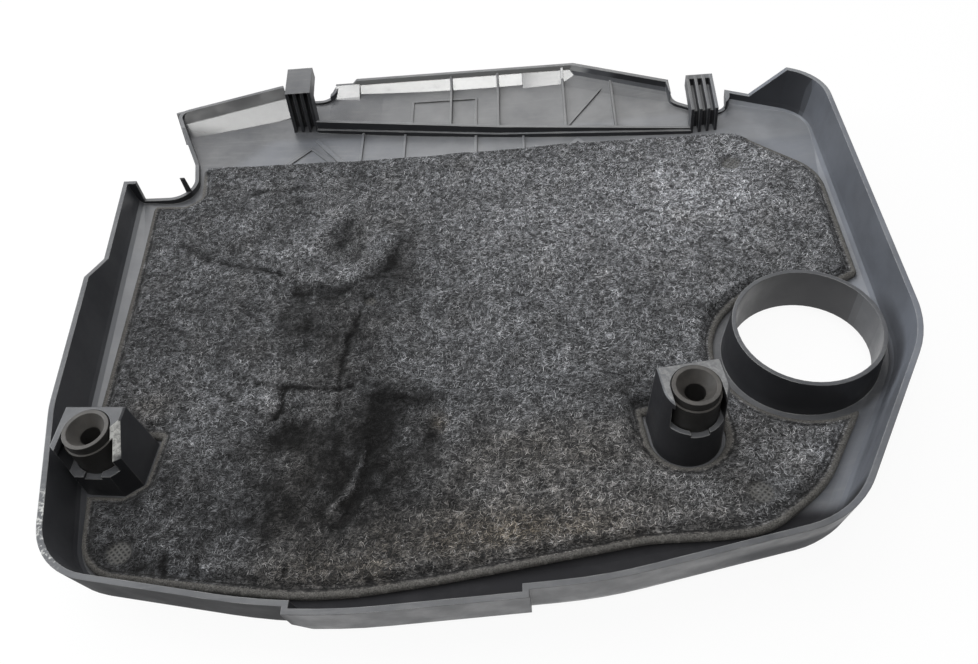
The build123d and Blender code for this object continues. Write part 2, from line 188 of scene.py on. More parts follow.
def axes(tree, coords):
    node = tree.nodes.new("ShaderNodeSeparateXYZ")
    put(tree, node.inputs[0], coords)
    return node.outputs[0], node.outputs[1], node.outputs[2]


def addObject(name, bm, mat):
    mesh = bpy.data.meshes.new(name)
    bm.to_mesh(mesh)
    bm.free()
    mesh.materials.append(mat)
    obj = bpy.data.objects.new(name, mesh)
    scene.collection.objects.link(obj)
    return obj


# shell plastic: satin dark slate, grained, dusty, paler where it is worn, with painted light on some walls,
# ledges and panels and painted shade on upright faces and in the front gap

shellLook = dict(
    # colours, among them the pale bluish colour of painted light, a pale colour for wear and painted light,
    # and the near black of painted shade
    dark=(0.046, 0.048, 0.054), light=(0.074, 0.076, 0.083), paintedShadeColour=(0.008, 0.008, 0.010),
    dustAndPaintedLight=(0.15, 0.162, 0.188), dust=(0.20, 0.20, 0.198), wornAndPaintedLight=(0.30, 0.30, 0.295), silver=(0.62, 0.62, 0.60),
    # finish
    rough=(0.34, 0.5), mattRough=0.28, dullRough=0.45, edgeRadius=0.7 * mm,
    facetRough=(0.13, 0.24), facetCoat=(0.38, 0.56), smudgedCoat=0.75, coatRough=0.1, coatIor=1.6,
    grainBump=(0.08, 0.2 * mm), gridBump=(0.35, 0.4 * mm), gridPitch=1.8 * mm,
    # strength of the painted light, the painted paler areas, the painted shade, the wear and the dust
    paintedLightShare=0.75, wallPaintedLight=0.8, lobePaintedLight=(0.45, 1.15), sillPaintedLight=0.6, ledgePaintedLight=0.7, footPaintedLight=1.2,
    behindPaintedLight=1.3, behindPaintedPale=0.85, ledgePaintedPale=0.3, panelPaintedPale=0.28,
    paintedShadeShare=0.8, outsideShade=0.9, gapShade=1.25,
    edgeWear=(0.16, 0.5), leftPlateWear=0.04, plateWear=(0.15, 0.55), chipWear=0.65,
    settledDust=0.2, rubbedDust=0.14,
    # places in metres
    collar=(0.1756, -0.0588), collarReach=0.045, paintedLightFrom=0.16, lobeY=(-0.11, -0.05), rearWall=0.196,
    sillY=(0.116, 0.150), sillTop=0.010, ledgeX=-0.186, ledgeY=(-0.085, 0.085), ledgeTop=0.023,
    footX=0.201, footY=(-0.125, -0.045), panelX=-0.06, panelY=0.115, shadeY=(-0.150, 0.190),
    wingX=-0.1355, wingBand=0.0213, outsideX=-0.0745, outsideY=-0.135, gapX=-0.115, gapY=-0.151, gapTop=0.040,
    flankX=(0.07, 0.174), flankY=(-0.16, -0.01), plateHeight=0.0465,
    chipX=-0.180, chipY=(-0.186, -0.142), chipZ=(0.034, 0.0395), rubX=-0.151, rubZ=0.0375,
    facetY=0.1575, shineY=0.1915, mattX=0.11, mattY=-0.045, mattTop=0.030, mattReach=0.0445,
    gridX=(-0.107, -0.069), gridY=(0.160, 0.193),
    cutNormal=(0.606, -0.49, 0.626))  # the way the left tower's cut corner faces


def shellMaterial(look):
    mat, tree, bsdf = newMaterial("shellPlastic")
    coords = objectCoords(tree)
    x, y, z = axes(tree, coords)
    faceNormal = tree.nodes.new("ShaderNodeNewGeometry").outputs["True Normal"]
    nx, ny, nz = axes(tree, faceNormal)
    forward = ramp(tree, ny, -0.45, -0.6)
    upright = ramp(tree, nz, 0.45, 0.3)
    mottle = ramp(tree, noiseTex(tree, coords, 22.0, 5.0, 0.62), 0.3, 0.7)
    colour = mixColour(tree, mottle, look["dark"], look["light"])

    # painted light, pale and bluish: on the right walls that face left and the lobe round the filler opening,
    # on the sill in front of the beam, the low ledges, the right foot and inside the rear wall
    besideX = calc(tree, "SUBTRACT", x, look["collar"][0])
    besideY = calc(tree, "SUBTRACT", y, look["collar"][1])
    besideSquare = calc(tree, "ADD", times(tree, besideX, besideX), times(tree, besideY, besideY))
    beside = calc(tree, "SQRT", besideSquare)  # distance from the collar's middle
    right = times(tree, above(tree, x, look["paintedLightFrom"], 0.006),
                  above(tree, beside, look["collarReach"], 0.002))
    lobe = times(tree, ramp(tree, nz, 0.1, 0.5), ramp(tree, y, *look["lobeY"], *look["lobePaintedLight"]))
    wall = ramp(tree, nx, 0.0, -0.5, 0.0, look["wallPaintedLight"])
    sill = times(tree, ramp(tree, nz, 0.6, 0.9), between(tree, y, *look["sillY"], 0.004),
                 below(tree, z, look["sillTop"], 0.0005), look["sillPaintedLight"])
    ledge = times(tree, ramp(tree, nz, 0.2, 0.5), below(tree, x, look["ledgeX"], 0.002),
                  between(tree, y, *look["ledgeY"], 0.006), below(tree, z, look["ledgeTop"], 0.003),
                  look["ledgePaintedLight"])
    foot = times(tree, right, above(tree, x, look["footX"], 0.006), between(tree, y, *look["footY"], 0.02),
                 look["footPaintedLight"])
    behind = times(tree, ramp(tree, y, look["rearWall"], look["rearWall"] + 0.004), forward, upright)
    # painted light, patchy
    dustAndPaintedLight = most(tree, times(tree, right, most(tree, wall, lobe)), sill, ledge, foot,
                times(tree, behind, look["behindPaintedLight"]))
    unevenness = ramp(tree, noiseTex(tree, coords, 30.0, 4.0, 0.6), 0.25, 0.7, 0.55, 1.0)
    colour = mixColour(tree, times(tree, dustAndPaintedLight, unevenness, look["paintedLightShare"]), colour, look["dustAndPaintedLight"])
    # painted light: paler on the rear panel, inside the rear wall and on the ledges, in the same pale colour
    # as the wear
    panel = times(tree, ramp(tree, nz, 0.9, 0.97), above(tree, y, look["panelY"], 0.003),
                  above(tree, x, look["panelX"], 0.03), unevenness, look["panelPaintedPale"])
    pale = most(tree, times(tree, behind, look["behindPaintedPale"]), times(tree, ledge, look["ledgePaintedPale"]), panel)
    colour = mixColour(tree, pale, colour, look["wornAndPaintedLight"])

    # painted shade, near black: on the beam, tower posts, collar, wing, the outside at the front left and in
    # the gap along the front
    shade = times(tree, forward, upright, between(tree, y, *look["shadeY"], 0.002))
    flank = times(tree, ramp(tree, nx, -0.2, -0.5), upright, between(tree, x, *look["flankX"], 0.002),
                  between(tree, y, *look["flankY"], 0.01))
    wing = times(tree, forward, below(tree, x, look["wingX"], 0.0015),
                 above(tree, z, look["wingBand"], 0.0003))
    outside = times(tree, ramp(tree, ny, 0.0, -0.3), below(tree, x, look["outsideX"], 0.0035),
                    below(tree, y, look["outsideY"], 0.015), look["outsideShade"])
    inner = most(tree, ramp(tree, ny, 0.1, 0.4), ramp(tree, nz, 0.3, 0.6))
    gap = times(tree, inner, above(tree, x, look["gapX"], 0.015), below(tree, y, look["gapY"], 0.005),
                below(tree, z, look["gapTop"], 0.0005), look["gapShade"])
    darkest = most(tree, shade, flank, wing, outside, gap)
    colour = mixColour(tree, times(tree, darkest, look["paintedShadeShare"]), colour, look["paintedShadeColour"])

    # rounded edges and their wear
    rounded = roundedEdges(tree, look["edgeRadius"])
    edge = ramp(tree, dotProduct(tree, rounded, faceNormal), 0.995, 0.9)
    patch = ramp(tree, noiseTex(tree, coords, 70.0, 4.0, 0.6), 0.42, 0.68)
    least, extra = look["edgeWear"]
    wear = times(tree, edge, calc(tree, "MULTIPLY_ADD", patch, extra, least))
    colour = mixColour(tree, wear, colour, look["wornAndPaintedLight"])

    # dust settles on what faces up, in clouds and in short rubbed streaks
    up = times(tree, ramp(tree, nz, 0.6, 0.98), calc(tree, "SUBTRACT", 1.0, gap, clamp=True))
    settled = ramp(tree, noiseTex(tree, coords, 38.0, 6.0, 0.65), 0.35, 0.75)
    streaks = stretched(tree, coords, 0.5, (60.0, 420.0, 100.0))
    rubbed = ramp(tree, noiseTex(tree, streaks, 1.0, 4.0, 0.6), 0.5, 0.72)
    dusty = calc(tree, "ADD", times(tree, settled, look["settledDust"]),
                 times(tree, rubbed, look["rubbedDust"]))
    colour = mixColour(tree, times(tree, up, dusty), colour, look["dust"])

    # scuffed plates on the towers, the right one more
    plate = times(tree, up, above(tree, z, look["plateHeight"], 0.0004))
    scratch = noiseTex(tree, coords, 420.0, 6.0, 0.7, 0.6)
    scuffed = ramp(tree, x, -0.02, 0.02, look["leftPlateWear"], 1.0)
    scuffs = times(tree, plate, scuffed, ramp(tree, scratch, 0.38, 0.7, *look["plateWear"]))
    colour = mixColour(tree, scuffs, colour, look["wornAndPaintedLight"])

    # chipped outer edge at the left end of the front, and the bright rub on the left tower's cut corner
    chips = ramp(tree, noiseTex(tree, coords, 320.0, 5.0, 0.7), 0.48, 0.62)
    chipped = times(tree, chips, below(tree, x, look["chipX"], 0.004),
                    between(tree, y, *look["chipY"], 0.006), ramp(tree, z, *look["chipZ"]),
                    ramp(tree, nx, 0.35, 0.1), look["chipWear"])
    colour = mixColour(tree, chipped, colour, look["silver"])
    cut = ramp(tree, dotProduct(tree, faceNormal, look["cutNormal"]), 0.97, 0.985)
    rub = times(tree, cut, below(tree, x, look["rubX"], 0.001), above(tree, z, look["rubZ"], 0.0015),
                ramp(tree, scratch, 0.36, 0.6, 0.35, 1.0))
    colour = mixColour(tree, rub, colour, look["silver"])
    put(tree, bsdf.inputs["Base Color"], colour)

    # the facets inside the rear wall are polished, smudged in places
    facet = times(tree, ramp(tree, ny, -0.3, -0.45), ramp(tree, nz, 0.45, 0.6),
                  above(tree, y, look["facetY"], 0.0075), calc(tree, "SUBTRACT", 1.0, wing))
    smudge = ramp(tree, noiseTex(tree, coords, 120.0, 4.0, 0.65), 0.55, 0.8, *look["facetRough"])
    polish = ramp(tree, noiseTex(tree, coords, 26.0, 3.0), 0.3, 0.7, *look["facetCoat"])
    coat = times(tree, facet, above(tree, y, look["shineY"], 0.0015), polish,
                 ramp(tree, smudge, *look["facetRough"], 1.0, look["smudgedCoat"]))
    put(tree, bsdf.inputs["Coat Weight"], coat)
    bsdf.inputs["Coat Roughness"].default_value = look["coatRough"]
    bsdf.inputs["Coat IOR"].default_value = look["coatIor"]

    # satin elsewhere, duller at the right front, in the gap and outside at the front left
    rough = ramp(tree, noiseTex(tree, coords, 55.0, 4.0, 0.6), 0.3, 0.7, *look["rough"])
    matt = times(tree, above(tree, x, look["mattX"], 0.02), below(tree, y, look["mattY"], 0.025),
                 below(tree, z, look["mattTop"], 0.004), above(tree, beside, look["mattReach"], 0.0015),
                 look["mattRough"])
    dull = most(tree, matt, times(tree, most(tree, gap, outside), look["dullRough"]))
    satin = times(tree, calc(tree, "SUBTRACT", 1.0, facet), calc(tree, "ADD", rough, dull, clamp=True))
    put(tree, bsdf.inputs["Roughness"], calc(tree, "ADD", times(tree, facet, smudge), satin))

    # moulding grain, and the fine grid pressed into the left of the rear panel
    grained = bump(tree, noiseTex(tree, coords, 2600.0, 2.0, 0.5), *look["grainBump"], rounded)
    grid = times(tree, between(tree, x, *look["gridX"], 0.0006), between(tree, y, *look["gridY"], 0.0006), up,
                 waffle(tree, x, y, look["gridPitch"]))
    put(tree, bsdf.inputs["Normal"], bump(tree, grid, *look["gridBump"], grained))
    return mat


shellPlastic = shellMaterial(shellLook)
print("stage: shell plastic")


# rubber of the grommets

rubberLook = dict(dark=(0.022, 0.021, 0.020), dusty=(0.062, 0.057, 0.052), rough=(0.45, 0.65),
                  edgeRadius=0.6 * mm, fineBump=(0.12, 0.2 * mm))


def rubberMaterial(look):
    mat, tree, bsdf = newMaterial("grommetRubber")
    coords = objectCoords(tree)
    nz = axes(tree, tree.nodes.new("ShaderNodeNewGeometry").outputs["Normal"])[2]
    mottle = ramp(tree, noiseTex(tree, coords, 160.0, 5.0, 0.65), 0.3, 0.7, 0.4, 1.0)
    dustAndPaintedLight = times(tree, ramp(tree, nz, -0.1, 0.9), mottle)
    put(tree, bsdf.inputs["Base Color"], mixColour(tree, dustAndPaintedLight, look["dark"], look["dusty"]))
    put(tree, bsdf.inputs["Roughness"], ramp(tree, noiseTex(tree, coords, 90.0), 0.3, 0.7, *look["rough"]))
    fine = noiseTex(tree, coords, 1500.0, 3.0, 0.6)
    rounded = roundedEdges(tree, look["edgeRadius"])
    put(tree, bsdf.inputs["Normal"], bump(tree, fine, *look["fineBump"], rounded))
    return mat


grommetRubber = rubberMaterial(rubberLook)


def dress(node, mat):
    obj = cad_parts[node]
    obj.data.materials.clear()
    obj.data.materials.append(mat)


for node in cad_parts:
    if node.startswith("grommet"):
        dress(node, grommetRubber)
    elif node != "felt_liner":
        dress(node, shellPlastic)
print("stage: rubber")


# felt liner: a fine sheet over the CAD liner's plan, pressed, welded, folded and dented

feltLook = dict(
    step=1.18 * mm, snap=0.4,  # cell size, and how near the cut edge a point moves onto it, in cells
    thick=7.6 * mm, thinnest=1.2 * mm, border=3.9 * mm, borderWidth=4.0 * mm, shoulder=4.6 * mm,
    rounding=1.4 * mm, hem=0.1 * mm,  # of the cut edge, and how far above the floor it ends
    rearLine=112 * mm, rearBorder=0.12,  # behind this line the border is this share as wide
    weldRadius=6.2 * mm, weldDepth=3.0 * mm, weldDip=1.2 * mm, wafflePitch=2.8 * mm,
    welds=[(-61, -5, 0.6), (-167, -163, 1.0), (138, -143, 1.0), (165, 91, 1.0)],  # place and size
    # along the front the liner stands off from the wall: how far, how deep, and in millimetres where
    frontGap=7.0 * mm, frontReach=16.0 * mm, frontLine=-135, frontSoft=12, frontMiddle=75, frontFade=(75, 36),
    # clouds: strength, scale and layer, for the height in millimetres and for the tone
    lumps=[(0.8, 0.016, 0.0), (0.6, 0.042, 5.0), (0.4, 0.13, 9.0), (0.22, 0.33, 2.0)],
    mottle=[(0.15, 0.045, 3.0), (0.15, 0.13, 4.0), (0.13, 0.3, 7.0)],
    # folds: line, height in millimetres (below 0 sinks), half width
    folds=[
        ([(-80, 61), (-82, 40)], -1.7, 3.2),
        ([(-86, 36), (-74, 28)], -1.6, 7.0),
        ([(-87, 71), (-95, 54), (-103, 42)], 1.7, 6.5),
        ([(-54, 44), (-57, 32), (-68, 22), (-83, 13), (-103, 14)], 1.7, 6.0),
        ([(-44, 42), (-50, 22), (-66, 9), (-82, 1), (-104, 2)], -1.5, 7.0),
        ([(-185, 44), (-167, 31), (-149, 26), (-132, 22), (-117, 16)], -1.4, 1.8),
        ([(-134, 25), (-126, 21), (-118, 17)], -1.4, 1.5),
        ([(-66, -12), (-69, -32), (-70, -40)], -1.6, 1.8),
        ([(-70, -34), (-73, -49), (-71, -82)], -1.7, 1.8),
        ([(-136, -72), (-124, -79), (-111, -87)], -1.9, 1.6),
        ([(-102, -69), (-102, -78), (-105, -88)], -2.4, 2.0),
        ([(-118, -66), (-117, -76), (-115, -84)], -1.4, 1.4),
        ([(-118, -65), (-102, -68), (-87, -69), (-66, -70)], -1.8, 2.0),
        ([(-113, -66), (-108, -80)], 1.7, 6.0),
        ([(-49, -77), (-47, -92), (-47, -107)], -3.0, 4.5),
        ([(-50, -104), (-51, -121), (-55, -136), (-62, -153)], -1.8, 3.0),
        ([(-54, -112), (-57, -128), (-66, -145)], 1.8, 1.5),
        ([(-48, -78), (-35, -78)], -2.0, 1.9),
        ([(-142, -166), (-142, -175)], -2.2, 1.5),
        ([(-127, -168), (-127, -176)], -1.8, 1.4),
        ([(-85, -173), (-85, -179)], -1.8, 1.4),
        ([(148, -144), (158, -146), (166, -147)], -0.9, 1.2),
        ([(-150, 89), (-115, 93)], -1.2, 1.6),
        ([(-115, 91), (-104, 91), (-93, 91)], -1.3, 3.0),
    ],
    foldRelief=0.42, foldShoulder=0.3, foldWander=2.2,
    foldPaintedShading=0.12, creasePaintedShading=0.17, creaseReach=2.5,  # painted light on fold ridges and painted shade in fold bottoms; narrow folds show more
    # dents and swellings: x, y, reach along, reach across, turn in degrees, height
    forms=[
        (-84, 46, 12, 9, 20, -0.9), (-98, -4, 15, 12, 0, -2.2), (-101, -103, 11, 8, -20, -2.6),
        (-91, -94, 8, 6, -20, -2.0), (-152, -170, 9, 6, 5, -2.0), (-20, -103, 6, 9, 0, -2.2),
        (-70, -120, 12, 30, 8, 1.2), (-28, -118, 18, 26, 0, 1.2), (20, -60, 40, 25, 15, 1.0),
        (70, 20, 50, 30, -10, 0.9), (-150, -30, 40, 24, 20, 1.0), (-140, 60, 30, 22, 0, 1.0),
        (-140, -120, 26, 20, 0, 0.9), (60, -130, 40, 22, 8, 0.8), (95, 70, 30, 22, 20, 0.8),
        (150, 20, 24, 30, 0, 0.8),
    ],
    # tone, darker to the left of a place in millimetres over a distance
    tone=0.5, leftTone=-0.06, leftFrom=30, leftOver=70,
    # soft patches of tone, some of them painted shade in the dents and folds and painted light on a ridge: x,
    # y, reach in x, reach in y, strength (below 0 darkens)
    tonesAndPaintedShade=[
        (-58, -112, 38, 52, -0.3), (-90, -22, 40, 30, -0.22), (-85, 46, 17, 11, -0.13),
        (-46, 22, 14, 26, -0.22), (-160, -150, 60, 34, -0.16), (60, 60, 110, 60, 0.17),
        (-24, -56, 26, 14, 0.05), (150, 70, 50, 50, 0.26), (-112, 36, 26, 20, 0.07), (-40, 95, 70, 12, 0.08),
        (-48, -92, 8, 22, -0.24), (82, -84, 18, 18, -0.24), (25, -124, 60, 26, -0.07),
        (-42, -79, 18, 5, -0.26), (-118, -78, 8, 7, 0.2), (-58, -145, 10, 22, -0.16),
        (-100, -103, 12, 8, -0.3), (-152, -170, 10, 6, -0.16), (-20, -103, 6, 12, -0.24),
        (-90, -94, 10, 6, -0.18), (-30, -150, 46, 30, -0.02), (181, -118, 15, 24, 0.16),
        (150, 0, 20, 30, -0.08), (-100, -140, 36, 30, -0.14), (-170, -40, 24, 40, -0.05),
        (-150, 40, 30, 16, -0.06), (170, -130, 30, 24, 0.06),
    ],
    # patches of tan dust, in the same order
    dust=[
        (20, -160, 80, 16, 1.3), (-60, -176, 40, 9, 0.8), (60, -112, 50, 20, 0.35), (-17, -95, 4, 6, 1.0),
        (20, -122, 60, 26, 0.5), (-82, -125, 20, 44, 0.45), (-173, -82, 16, 14, 0.5),
        (120, -130, 40, 26, 0.3), (-60, 60, 30, 40, 0.15), (-80, -40, 40, 50, 0.2),
    ],
    dustShare=0.7, borderDust=0.2, borderTo=4.6,  # dust on the border, up to this many millimetres in
    hollowPaintedShade=0.06, hollowAt=6.5, hollowWidth=2.0,  # painted shade in the hollow inside the border, in millimetres
    # colours at tone 0 and at tone 1
    gaps=((0.005, 0.005, 0.005), (0.034, 0.034, 0.036)), grey=((0.02, 0.02, 0.021), (0.80, 0.82, 0.87)),
    tan=((0.03, 0.026, 0.02), (0.66, 0.56, 0.44)), tonePower=1.5,
    # colours of the pressed border, the painted shade in the groove beside it and the weld spots
    pressed=((0.045, 0.043, 0.04), (0.15, 0.144, 0.135)), groovePaintedShade=(0.012, 0.012, 0.012),
    waffle=((0.014, 0.014, 0.014), (0.13, 0.128, 0.122)),
    pressedShare=0.85, groovePaintedShadeShare=0.75, waffleShare=0.7,
    strandTurns=(0.7, 1.5, -0.1, 2.3), rough=0.95, specular=0.15, sheen=0.05, bump=(0.6, 0.6 * mm))


def smooth(t):
    t = np.clip(t, 0.0, 1.0)
    return t * t * (3 - 2 * t)


def cloud(px, py, scale, layer):
    return np.array([noise.noise(Vector((a * scale, b * scale, layer))) for a, b in zip(px, py)])


def clouds(px, py, layers):
    return sum(strength * cloud(px, py, scale, layer) for strength, scale, layer in layers)


def lineDistance(px, py, line):
    best = np.full(px.shape, 1e9)
    for (ax, ay), (bx, by) in zip(line, line[1:]):
        dx, dy = bx - ax, by - ay
        share = np.clip(((px - ax) * dx + (py - ay) * dy) / (dx * dx + dy * dy), 0.0, 1.0)
        best = np.minimum(best, np.hypot(px - ax - share * dx, py - ay - share * dy))
    return best


def wander(px, py, reach):
    # folds stray a little from their drawn lines
    return px + reach * cloud(px, py, 0.1, 20.0), py + reach * cloud(px, py, 0.1, 24.0)


def patches(px, py, spots):
    return sum(s * np.exp(-((px - x) / rx) ** 2 - ((py - y) / ry) ** 2) for x, y, rx, ry, s in spots)


def feltRelief(px, py, look):
    # swellings, dents and folds in millimetres
    change = clouds(px, py, look["lumps"])
    for x, y, along, across, turn, high in look["forms"]:
        c, s = math.cos(math.radians(turn)), math.sin(math.radians(turn))
        dx, dy = px - x, py - y
        change += high * np.exp(-((dx * c + dy * s) / along) ** 2 - ((dy * c - dx * s) / across) ** 2)
    wx, wy = wander(px, py, look["foldWander"])
    for line, high, reach in look["folds"]:
        far = lineDistance(wx, wy, line)
        shoulder = look["foldShoulder"] * np.exp(-((far - 2.3 * reach) / reach) ** 2)
        change += look["foldRelief"] * high * (np.exp(-(far / reach) ** 2) - shoulder)
    return change


def feltShade(px, py, depth, look):
    # brightness and dustiness, with painted shade in fold bottoms, dents and the hollow inside the border,
    # painted light on fold ridges, and a dusty pressed border
    tone = look["tone"] + look["leftTone"] * smooth((look["leftFrom"] - px) / look["leftOver"])
    # soft patches of tone, some of them painted shade and light on dents, folds and a ridge
    tone += patches(px, py, look["tonesAndPaintedShade"]) + clouds(px, py, look["mottle"])
    wx, wy = wander(px, py, look["foldWander"])
    wavy = 0.9 * (1.0 + 0.6 * cloud(px, py, 0.12, 12.0))
    # painted light along the fold ridges and painted shade along the fold bottoms
    for line, high, reach in look["folds"]:
        strength = look["foldPaintedShading"] if reach > look["creaseReach"] else look["creasePaintedShading"]
        tone += strength * high * np.exp(-(lineDistance(wx, wy, line) / (wavy * reach)) ** 2)
    # painted shade in the hollow inside the pressed border, not along the rear
    front = smooth((look["rearLine"] / mm - py) / 10)
    inner = depth / mm
    hollow = np.exp(-((inner - look["hollowAt"]) / look["hollowWidth"]) ** 2)
    tone -= look["hollowPaintedShade"] * front * hollow * (0.6 + 0.8 * cloud(px, py, 0.04, 8.0))
    dust = look["dustShare"] * patches(px, py, look["dust"]) + 0.15 * cloud(px, py, 0.06, 6.0)
    dust += look["borderDust"] * front * smooth(look["borderTo"] - inner)
    return np.clip(tone, 0.02, 1.0), np.clip(dust, 0.0, 1.0)


def weldMask(px, py, reach, look):
    # 1 on the weld spots, fading out from 0.85 of the reach
    apart = [np.hypot(px - x, py - y) / size for x, y, size in look["welds"]]
    return 1 - smooth((np.min(apart, axis=0) - 0.85 * reach) / (0.5 * reach))


def feltThickness(px, py, depth, look):
    # depth is the distance in from the cut edge
    width = look["borderWidth"] * (1.0 + 0.1 * cloud(px, py, 0.06, 3.0))
    width *= np.where(py * mm > look["rearLine"], look["rearBorder"], 1.0)
    edge = 0.55 + 0.45 * smooth(depth / look["rounding"])
    rise = smooth((depth - width) / look["shoulder"])
    thick = look["border"] * edge + (look["thick"] - look["border"]) * rise
    thick += feltRelief(px, py, look) * mm * rise + 0.1 * mm * (1 - rise) * cloud(px, py, 0.5, 1.0)
    reach = look["weldRadius"] / mm
    sink = look["weldDepth"] * weldMask(px, py, reach, look)
    sink += look["weldDip"] * weldMask(px, py, 2 * reach, look)
    return np.maximum(thick - sink * rise, look["thinnest"])


def feltOutline(node):
    # points along the bottom edge of the CAD liner, where its underside meets its cut sides
    spacing = 0.5 * mm
    bm = bmesh.new()
    bm.from_mesh(node.data)
    bmesh.ops.remove_doubles(bm, verts=bm.verts, dist=1e-6)
    bm.normal_update()
    points = []
    for e in bm.edges:
        if len(e.link_faces) != 2:
            continue
        a, b = sorted(f.normal.z for f in e.link_faces)
        if a < -0.6 and abs(b) < 0.35:
            p, q = e.verts[0].co, e.verts[1].co
            count = max(1, int((q - p).length / spacing))
            points += [p.lerp(q, i / count) for i in range(count + 1)]
    bm.free()
    return points


def feltSheet(look, node, outline, finder):
    # a flat grid cut to the liner's plan; also each point's distance from the cut edge and the floor under it
    low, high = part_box("felt_liner")
    solid = BVHTree.FromPolygons([v.co for v in node.data.vertices], [p.vertices for p in node.data.polygons])
    step, centre, rayFrom = look["step"], (low + high) / 2, -10 * mm
    nx, ny = int((high.x - low.x) / step) + 3, int((high.y - low.y) / step) + 3
    bm = bmesh.new()
    bmesh.ops.create_grid(bm, x_segments=nx, y_segments=ny, size=0.5)
    bm.verts.layers.float_color.new("feltTone")
    inside, nearest, depth, floorZ = {}, {}, {}, {}
    for v in bm.verts:
        x, y = centre.x + v.co.x * nx * step, centre.y + v.co.y * ny * step
        hit = solid.ray_cast(Vector((x, y, rayFrom)), Vector((0, 0, 1)))[0]
        point, nearest[v], depth[v] = finder.find((x, y, 0.0))
        v.co = (x, y, 0.0)
        inside[v] = hit is not None
        floorZ[v] = hit.z if inside[v] else outline[nearest[v]].z
    # the outermost points move onto the cut edge
    snapped = {v for v in bm.verts if depth[v] < step and (not inside[v] or depth[v] < look["snap"] * step)}
    drop = [v for v in bm.verts if not inside[v] and v not in snapped]
    for v in snapped:
        p = outline[nearest[v]]
        v.co = (p.x, p.y, 0.0)
        depth[v], floorZ[v] = 0.0, p.z
    bmesh.ops.delete(bm, geom=drop, context="VERTS")
    flat = [f for f in bm.faces if all(v in snapped for v in f.verts)]  # cells that only span the edge itself
    bmesh.ops.delete(bm, geom=flat, context="FACES")
    bmesh.ops.delete(bm, geom=[v for v in bm.verts if not v.link_faces], context="VERTS")
    return bm, depth, floorZ


def buildFelt(look):
    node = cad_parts["felt_liner"]
    outline = feltOutline(node)
    finder = kdtree.KDTree(len(outline))
    for i, p in enumerate(outline):
        finder.insert((p.x, p.y, 0.0), i)
    finder.balance()
    bm, depth, floorZ = feltSheet(look, node, outline, finder)
    verts = list(bm.verts)
    px, py = np.array([v.co.x for v in verts]) / mm, np.array([v.co.y for v in verts]) / mm
    deep = np.array([depth[v] for v in verts])
    thick = feltThickness(px, py, deep, look)
    tone, dust = feltShade(px, py, deep, look)
    weld = weldMask(px, py, 0.9 * look["weldRadius"] / mm, look)
    left, right = look["frontFade"]
    aside = (px - look["frontMiddle"]) / np.where(px < look["frontMiddle"], left, right)
    back = look["frontGap"] * smooth((look["frontLine"] - py) / look["frontSoft"])
    back *= np.exp(-aside ** 2 - (deep / look["frontReach"]) ** 2)
    layer = bm.verts.layers.float_color["feltTone"]
    for v, t, shift, *values in zip(verts, thick, back, tone, dust, weld, deep / (10 * mm)):
        v.co.y += shift
        v.co.z = floorZ[v] + t
        v[layer] = values  # brightness with its painted light and shade, dust, weld spots and distance from the edge, 1 at 10 mm
    # the cut edge goes down to the floor
    rim = [e for e in bm.edges if e.is_boundary]
    for v in bmesh.ops.extrude_edge_only(bm, edges=rim)["geom"]:
        if isinstance(v, bmesh.types.BMVert):
            v.co.z = outline[finder.find((v.co.x, v.co.y, 0.0))[1]].z + look["hem"]
    bmesh.ops.recalc_face_normals(bm, faces=bm.faces)
    if sum(f.normal.z for f in bm.faces) < 0:
        bmesh.ops.reverse_faces(bm, faces=bm.faces)
    for f in bm.faces:
        f.smooth = True
    return bm


def matting(tree, coords, turns):
    # matted fibres: thin curly lines where a stretched cloud crosses its middle, in several directions
    strands = 0.0
    for k, turn in enumerate(turns):
        curl = noiseTex(tree, stretched(tree, coords, turn, (250.0, 740.0, 450.0)), 1.0, 1.5, 0.6, 0.8)
        across = calc(tree, "ABSOLUTE", calc(tree, "SUBTRACT", curl, 0.5))
        tufts = noiseTex(tree, stretched(tree, coords, turn, (150.0 + 40 * k, 210.0, 180.0)), 1.0, 2.0, 0.6)
        strand = times(tree, ramp(tree, across, 0.05, 0.008), ramp(tree, tufts, 0.36, 0.64, 0.12, 1.0))
        strands = most(tree, strand, strands)
    knots = noiseTex(tree, coords, 330.0, 3.0, 0.65)
    return times(tree, strands, ramp(tree, knots, 0.36, 0.64, 0.18, 1.0))


